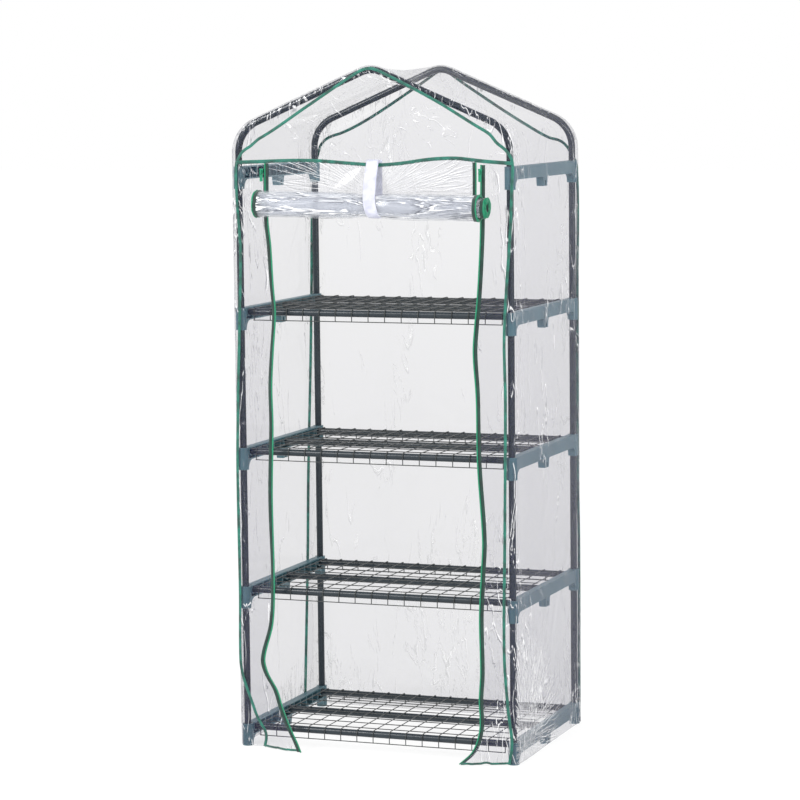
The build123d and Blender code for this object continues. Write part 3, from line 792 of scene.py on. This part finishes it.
def sweep_tape(name, path, across, out, width, thickness, material, body="cover"):
    """A flat tape along a path; across and out are directions, one for all points or one for each."""
    acrosses = [across] * len(path) if isinstance(across, Vector) else across
    outs = [out] * len(path) if isinstance(out, Vector) else out
    half, thick = width / 2, thickness / 2
    flat, lip = half * 0.86, thick * 0.4
    section = [(-half, -lip), (-flat, -thick), (flat, -thick), (half, -lip),
               (half, lip), (flat, thick), (-flat, thick), (-half, lip)]
    points, faces, ring = [], [], len(section)
    for spot, a, o in zip(path, acrosses, outs):
        points += [spot + a * u + o * v for u, v in section]
    for i in range(len(path) - 1):
        for k in range(ring):
            a, b = i * ring + k, i * ring + (k + 1) % ring
            faces.append((a, b, b + ring, a + ring))
    faces.append(tuple(range(ring))[::-1])
    faces.append(tuple(range(len(points) - ring, len(points))))
    tape = make_piece(name, points, faces, material, body)
    fix = bmesh.new()
    fix.from_mesh(tape.data)
    bmesh.ops.recalc_face_normals(fix, faces=fix.faces)
    fix.to_mesh(tape.data)
    fix.free()
    return tape


def path_turns(path, out):
    """For each point of a path, the direction across it that lies in the film."""
    turns = []
    for i in range(len(path)):
        along = path[min(i + 1, len(path) - 1)] - path[max(i - 1, 0)]
        turns.append(along.cross(out).normalized())
    return turns


# Stitches and zip teeth are small bars set out at an even pitch along a path.
ROW = bpy.data.node_groups.new("row_along_path", "GeometryNodeTree")
add_sockets(ROW, "INPUT", "Geometry", "Path")
add_sockets(ROW, "INPUT", "Float", "Pitch", "Length", "Width", "Thickness")
add_sockets(ROW, "INPUT", "Material", "Material")
add_sockets(ROW, "OUTPUT", "Geometry", "Row")
row_in, row_out = add_node(ROW, "NodeGroupInput"), add_node(ROW, "NodeGroupOutput")
row_curve = add_node(ROW, "GeometryNodeMeshToCurve")
row_spots = add_node(ROW, "GeometryNodeResampleCurve", mode="LENGTH")
row_along = add_node(ROW, "GeometryNodeInputTangent")
row_turn = add_node(ROW, "FunctionNodeAlignRotationToVector", axis="X")
bar_size = add_node(ROW, "ShaderNodeCombineXYZ")
bar = add_node(ROW, "GeometryNodeMeshCube")
bars = add_node(ROW, "GeometryNodeInstanceOnPoints")
row_mesh = add_node(ROW, "GeometryNodeRealizeInstances")
row_finish = add_node(ROW, "GeometryNodeSetMaterial")
join(ROW,
     (row_in, "Path", row_curve, "Mesh"), (row_curve, "Curve", row_spots, "Curve"),
     (row_in, "Pitch", row_spots, "Length"), (row_in, "Length", bar_size, "X"),
     (row_in, "Width", bar_size, "Y"), (row_in, "Thickness", bar_size, "Z"),
     (bar_size, "Vector", bar, "Size"), (row_along, "Tangent", row_turn, "Vector"),
     (row_spots, "Curve", bars, "Points"), (bar, "Mesh", bars, "Instance"),
     (row_turn, "Rotation", bars, "Rotation"), (bars, "Instances", row_mesh, "Geometry"),
     (row_mesh, "Geometry", row_finish, "Geometry"), (row_in, "Material", row_finish, "Material"),
     (row_finish, "Geometry", row_out, "Row"))
STITCH = (0.0045, 0.0030, 0.0007, 0.0007)       # pitch, length, width, thickness


def make_row(name, path, sizes, material, body="cover"):
    """A row of stitches or teeth along a path, as one mesh."""
    mesh = bpy.data.meshes.new(name)
    mesh.from_pydata(path, [(i, i + 1) for i in range(len(path) - 1)], [])
    row = add_object(name, mesh)
    sockets = {item.name: item.identifier for item in ROW.interface.items_tree if item.in_out == "INPUT"}
    maker = row.modifiers.new("row", "NODES")
    maker.node_group = ROW
    for label, value in zip(("Pitch", "Length", "Width", "Thickness"), sizes):
        maker[sockets[label]] = value
    maker[sockets["Material"]] = material
    settle(row)
    if body:
        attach(row, body)
    return row


def make_binding(name, front, node):
    """The binding round the front or the rear, a little proud of the film and gently rolling."""
    path = edge_curve(front, 460)
    way = Vector((0, -1 if front else 1, 0))
    turns = path_turns(path, way)
    path = [p + way * 0.0012 for p in path]
    rolls = [0.35 * noise.noise(Vector((p.x * 5, 2.0 if front else 9.0, p.z * 5))) for p in path]
    across = [(t * cos(r) + way * sin(r)).normalized() for t, r in zip(turns, rolls)]
    out = [(way * cos(r) - t * sin(r)).normalized() for t, r in zip(turns, rolls)]
    tape = sweep_tape(name, path, across, out, BINDING_WIDTH, BINDING_THICKNESS, green_tape)
    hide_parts(node)
    inward = 0.0018 if front else -0.0018
    sewn = [p + a * inward + o * 0.0010 for p, a, o in zip(path, across, out)]
    make_row(name.replace("binding", "stitches"), sewn, STITCH, green_thread)


green_thread = hard_finish("green_thread", (0.003, 0.110, 0.075), (0.008, 0.260, 0.180),
                           (0.05, 0.35, 0.26), 900, 0.0002, 0.45, 0.2)
make_binding("front_edge_binding", True, "front_binding")
make_binding("rear_edge_binding", False, "rear_binding")

FORWARD = Vector((0, -1, 0))
EAVE_BAND_WIDTH, EAVE_BAND_THICKNESS, BAND_STEPS = 0.0085, 0.0018, 90
band_left = -SIDE_X + seam_inset(-leg_distance(EAVE_BAND_Z), True)
band_right = SIDE_X - seam_inset(leg_distance(EAVE_BAND_Z), True)
band_xs = [band_left + (band_right - band_left) * i / BAND_STEPS for i in range(BAND_STEPS + 1)]
band_path = [Vector((x, FRONT_Y - 0.0015, eave_z(x))) for x in band_xs]
band_turns = path_turns(band_path, FORWARD)
sweep_tape("eave_band", band_path, band_turns, FORWARD, EAVE_BAND_WIDTH, EAVE_BAND_THICKNESS, green_tape)
make_row("eave_band_stitches", [p + Vector((0, -0.0009, 0.0024)) for p in band_path], STITCH,
         green_thread)

SIDES = ((-1, "left"), (1, "right"))
HEM_WIDTH, HEM_THICKNESS, HEM_STEPS = 0.0050, 0.0020, 40
for side, side_name in SIDES:
    hem_path = [strip_point(side, i / HEM_STEPS, HEM_Z + 0.0005) + Vector((0, -0.0012, 0.0015))
                for i in range(HEM_STEPS + 1)]
    hem_turns = path_turns(hem_path, FORWARD)
    flatten(sweep_tape(f"hem_binding_{side_name}", hem_path, hem_turns, FORWARD,
                       HEM_WIDTH, HEM_THICKNESS, green_tape))

# ==== zips ====================================================================================
# Each zip's outer half stays on its strip: a dark woven tape with a bright nylon coil and its teeth
# along the free edge.
bright_nylon = hard_finish("bright_green_nylon", (0.004, 0.180, 0.085), (0.010, 0.300, 0.150),
                           (0.10, 0.50, 0.32), 800, 0.0003, 0.30, 0.2)
dark_tape = woven_finish("dark_green_zip_tape", (0.001, 0.012, 0.010), (0.002, 0.055, 0.036), 520, 0.6)
TOOTH = (0.0024, 0.0012, 0.0034, 0.0026)        # pitch, length, width, thickness
ZIP_TAPE_WIDTH, ZIP_TAPE_THICKNESS = 0.0105, 0.0011
COIL_WIDTH, COIL_THICKNESS = 0.0030, 0.0020
ZIP_STEPS = 230
zip_top = EAVE_BAND_Z - 0.001
for side, side_name in SIDES:
    heights = [HEM_Z + (zip_top - HEM_Z) * i / ZIP_STEPS for i in range(ZIP_STEPS + 1)]
    path = [zip_line(side, z) + Vector((0, -0.0011, 0)) for z in heights]
    twist = [0.5 * noise.noise(Vector((side * 3.0, 0.5, p.z * 4.2))) for p in path]
    across = [Vector((cos(t), sin(t), 0)) for t in twist]
    out = [Vector((sin(t), -cos(t), 0)) for t in twist]
    tape = sweep_tape(f"zip_tape_{side_name}", path, across, out, ZIP_TAPE_WIDTH, ZIP_TAPE_THICKNESS,
                      dark_tape)
    if side < 0:
        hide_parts("zip_tapes")
    edge = [p - a * side * 0.0042 + o * 0.0008 for p, a, o in zip(path, across, out)]
    coil = sweep_tape(f"zip_coil_{side_name}", edge, across, out, COIL_WIDTH, COIL_THICKNESS,
                      bright_nylon)
    teeth = make_row(f"zip_teeth_{side_name}", edge, TOOTH, bright_nylon)
    for piece in (tape, coil, teeth):
        flatten(piece)
give_finish(bright_nylon, "zip_slider", "zip_pull")

# ==== rolled-up door ==========================================================================
# The door film is rolled from its hem nine and a half turns, with its zip tapes rolled in at both
# ends.  The last hand's breadth hangs flat from the eave band.
ROLL_LOW, ROLL_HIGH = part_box("door_roll")
ROLL_CENTRE = (ROLL_LOW + ROLL_HIGH) / 2
ROLL_RADIUS = (ROLL_HIGH.z - ROLL_LOW.z) / 2
STRAP_LOW, STRAP_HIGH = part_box("strap_front")
STRAP_MIDDLE = (STRAP_LOW.x + STRAP_HIGH.x) / 2
TURNS, CORE_RADIUS = 9.5, 0.0100
STEPS_PER_TURN = 44


def roll_point(x, turn):
    """A point of the rolled film: turn counts outwards from the core."""
    angle = tau * turn + pi * 0.5
    f = turn / TURNS
    radius = CORE_RADIUS + (ROLL_RADIUS - CORE_RADIUS) * f
    squeeze = 1 - 0.16 * exp(-((x - STRAP_MIDDLE) / 0.035) ** 2)
    ripple = noise.noise(Vector((x * 7.0, cos(angle) * 1.6 + f * 2.0, sin(angle) * 1.6)))
    long_ripple = noise.noise(Vector((x * 2.2 + 5.0, cos(angle) * 3.2, sin(angle) * 3.2 + f)))
    ridge = abs(noise.noise(Vector((x * 3.0 + turn, cos(angle) * 4.2, sin(angle) * 4.2))))
    radius = radius * squeeze * (1.01 + 0.04 * ripple + 0.05 * long_ripple - 0.10 * ridge * f)
    tilt = 0.006 * (0.5 - (x - ROLL_LOW.x) / (ROLL_HIGH.x - ROLL_LOW.x))
    return Vector((x, ROLL_CENTRE.y - 0.001 + radius * cos(angle),
                   ROLL_CENTRE.z + tilt + radius * 0.97 * sin(angle)))


def roll_end(turn, right):
    """How far a turn reaches along the roll; the core has slipped out to the right."""
    f = turn / TURNS
    slip = 0.018 * (1 - fade(f - 0.66, 0.07))
    wander = 0.004 * noise.noise(Vector((turn * 1.7, 4.0 if right else 8.0, 0)))
    return (ROLL_HIGH.x - 0.003 + slip + wander) if right else (ROLL_LOW.x + slip * 0.4 + wander)


rolled_film = film_finish("rolled_film", 0.11, 0.11, 0.85, 0.65, (0.11, 2.0, 2.0), (0.64, 0.67, 0.74))
curtain_film = film_finish("curtain_film", 0.06, 0.06, 0.36, 0.16, (1.0, 1.0, 1.0), (0.45, 0.46, 0.54),
                           lean=-0.8, fan_at=(STRAP_MIDDLE, FRONT_Y + 0.03, ROLL_CENTRE.z + 0.02),
                           fan_turn=pi / 2)
ROLL_COLUMNS = 84
turn_steps = int(TURNS * STEPS_PER_TURN)
roll_rows = []
for i in range(turn_steps + 1):
    turn = i / STEPS_PER_TURN
    left, right = roll_end(turn, False) + 0.008, roll_end(turn, True) - 0.008
    roll_rows.append([roll_point(left + (right - left) * j / ROLL_COLUMNS, turn)
                      for j in range(ROLL_COLUMNS + 1)])
roll = make_piece("door_roll_film", [p for row in roll_rows for p in row],
                  grid_faces(len(roll_rows), ROLL_COLUMNS + 1), rolled_film, "door")
# The outermost turns get the most painted glint and shade lines.
bunched = roll.data.attributes.new("gather", "FLOAT", "POINT")
bunched.data.foreach_set("value", [1.4 * fade(i / STEPS_PER_TURN - TURNS + 2.0, 1.0)
                                   for i in range(turn_steps + 1) for _ in range(ROLL_COLUMNS + 1)])
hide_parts("door_roll")

SIDEWAYS = Vector((1, 0, 0))
for side, side_name in SIDES:
    turns = [i / STEPS_PER_TURN for i in range(turn_steps + 1)]
    path = [roll_point(roll_end(turn, side > 0) - side * 0.0045, turn) for turn in turns]
    outward = [(p - Vector((p.x, ROLL_CENTRE.y, ROLL_CENTRE.z))).normalized() for p in path]
    sweep_tape(f"roll_tape_{side_name}", path, SIDEWAYS, outward, 0.0100, ZIP_TAPE_THICKNESS, dark_tape,
               body="door")
    lip = [p + SIDEWAYS * side * 0.0042 + o * 0.0006 for p, o in zip(path, outward)]
    sweep_tape(f"roll_coil_{side_name}", lip, SIDEWAYS, outward, 0.0026, 0.0018, bright_nylon,
               body="door")

CURTAIN_LOW, CURTAIN_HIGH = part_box("door_curtain")
CURTAIN_COLUMNS, CURTAIN_ROWS, CURTAIN_TAPE_STEPS = 110, 24, 40


def curtain_point(x, f):
    """A point of the flat part of the door, from the roll (0) to the eave band (1)."""
    top_z = eave_z(x) - 0.003
    z = ROLL_CENTRE.z + (top_z - ROLL_CENTRE.z) * f
    pull = (x - STRAP_MIDDLE) / (0.03 + 0.25 * (1 - f))
    rays = 0.0030 * sin(11 * atan2(x - STRAP_MIDDLE, 0.03 + top_z - z)) * sin(pi * f)
    rays *= fade(CURTAIN_HIGH.x - abs(x), 0.05)
    tug = 0.005 * exp(-pull * pull) * sin(pi * f)
    return Vector((x, CURTAIN_LOW.y - 0.0015 - tug + min(rays, 0.0012), z))


def on_curtain(piece):
    """Bakes a curtain piece's placement into its mesh."""
    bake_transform(piece)


curtain_width = CURTAIN_HIGH.x - CURTAIN_LOW.x
curtain_xs = [CURTAIN_LOW.x + curtain_width * j / CURTAIN_COLUMNS for j in range(CURTAIN_COLUMNS + 1)]
curtain_rows = [[curtain_point(x, i / CURTAIN_ROWS) for x in curtain_xs] for i in range(CURTAIN_ROWS + 1)]
curtain = make_film("door_curtain_film", curtain_rows, curtain_film, body=None, flip=False)
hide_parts("door_curtain")
on_curtain(curtain)
for side, side_name in SIDES:
    edge_x = (CURTAIN_LOW.x if side < 0 else CURTAIN_HIGH.x) - side * 0.004
    path = [curtain_point(edge_x, 0.985 * i / CURTAIN_TAPE_STEPS) + Vector((0, -0.0012, 0))
            for i in range(CURTAIN_TAPE_STEPS + 1)]
    on_curtain(sweep_tape(f"door_tape_{side_name}", path, SIDEWAYS, FORWARD, 0.0095, ZIP_TAPE_THICKNESS,
                          dark_tape, body=None))
    lip = [p + Vector((side * 0.0038, -0.0008, 0)) for p in path]
    on_curtain(sweep_tape(f"door_coil_{side_name}", lip, SIDEWAYS, FORWARD, 0.0028, 0.0018, bright_nylon,
                          body=None))

# ==== strap ===================================================================================
# White woven tape, folded in two and sewn at the eave band: one leg behind the roll, one over it.
# The front leg has a body of its own, and the back leg stays on the cover.
white_tape = woven_finish("white_strap_tape", (0.50, 0.51, 0.64), (0.76, 0.77, 0.88), 260, 0.7)
STRAP_WIDTH, STRAP_THICKNESS = STRAP_HIGH.x - STRAP_LOW.x, 0.0009
strap_seam = Vector((STRAP_MIDDLE, STRAP_HIGH.y - 0.0004, STRAP_HIGH.z))
squeezed = ROLL_RADIUS * 0.84 + 0.0016
TOUCH_ANGLE, TIP_ANGLE = 2.15, 4.36         # where the strap meets the roll, and where it ends


def on_roll(angle):
    """A point of the strap's middle where it lies on the roll."""
    return Vector((STRAP_MIDDLE, ROLL_CENTRE.y + squeezed * cos(angle),
                   ROLL_CENTRE.z + squeezed * sin(angle)))


front_path = [strap_seam.copy()]
for i in range(1, 9):
    front_path.append(strap_seam.lerp(on_roll(TOUCH_ANGLE), i / 9) + Vector((0, -0.004 * sin(pi * i / 9), 0)))
front_path += [on_roll(TOUCH_ANGLE + (TIP_ANGLE - TOUCH_ANGLE) * i / 24) for i in range(25)]
STRAP_SKEW = [(0.0, -0.006), (0.4, 0.004), (1.0, 0.014)]
front_path = [p + Vector((ease(STRAP_SKEW, i / (len(front_path) - 1)), 0, 0))
              for i, p in enumerate(front_path)]


def make_strap(name, path, node, body):
    """A leg of the strap, with a faint cup across its width."""
    rows = []
    for i, spot in enumerate(path):
        along = path[min(i + 1, len(path) - 1)] - path[max(i - 1, 0)]
        out = Vector((0, along.y, along.z)).cross(SIDEWAYS).normalized()
        row = []
        for j in range(13):
            f = j / 12 - 0.5
            row.append(spot + Vector((STRAP_WIDTH * f, 0, 0)) + out * STRAP_THICKNESS * cos(pi * f))
        rows.append(row)
    strap = make_film(name, rows, white_tape, body=body, thickness=STRAP_THICKNESS)
    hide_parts(node)
    return strap


front_leg = make_strap("strap_front_leg", front_path, "strap_front", "strap")
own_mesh(front_leg)
BACK_LOW, BACK_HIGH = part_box("strap_back")
back_y, back_drop = (BACK_LOW.y + BACK_HIGH.y) / 2, BACK_LOW.z + 0.006 - BACK_HIGH.z
back_path = [Vector((STRAP_MIDDLE, back_y, BACK_HIGH.z + back_drop * i / 24)) for i in range(25)]
make_strap("strap_back_leg", back_path, "strap_back", "cover")
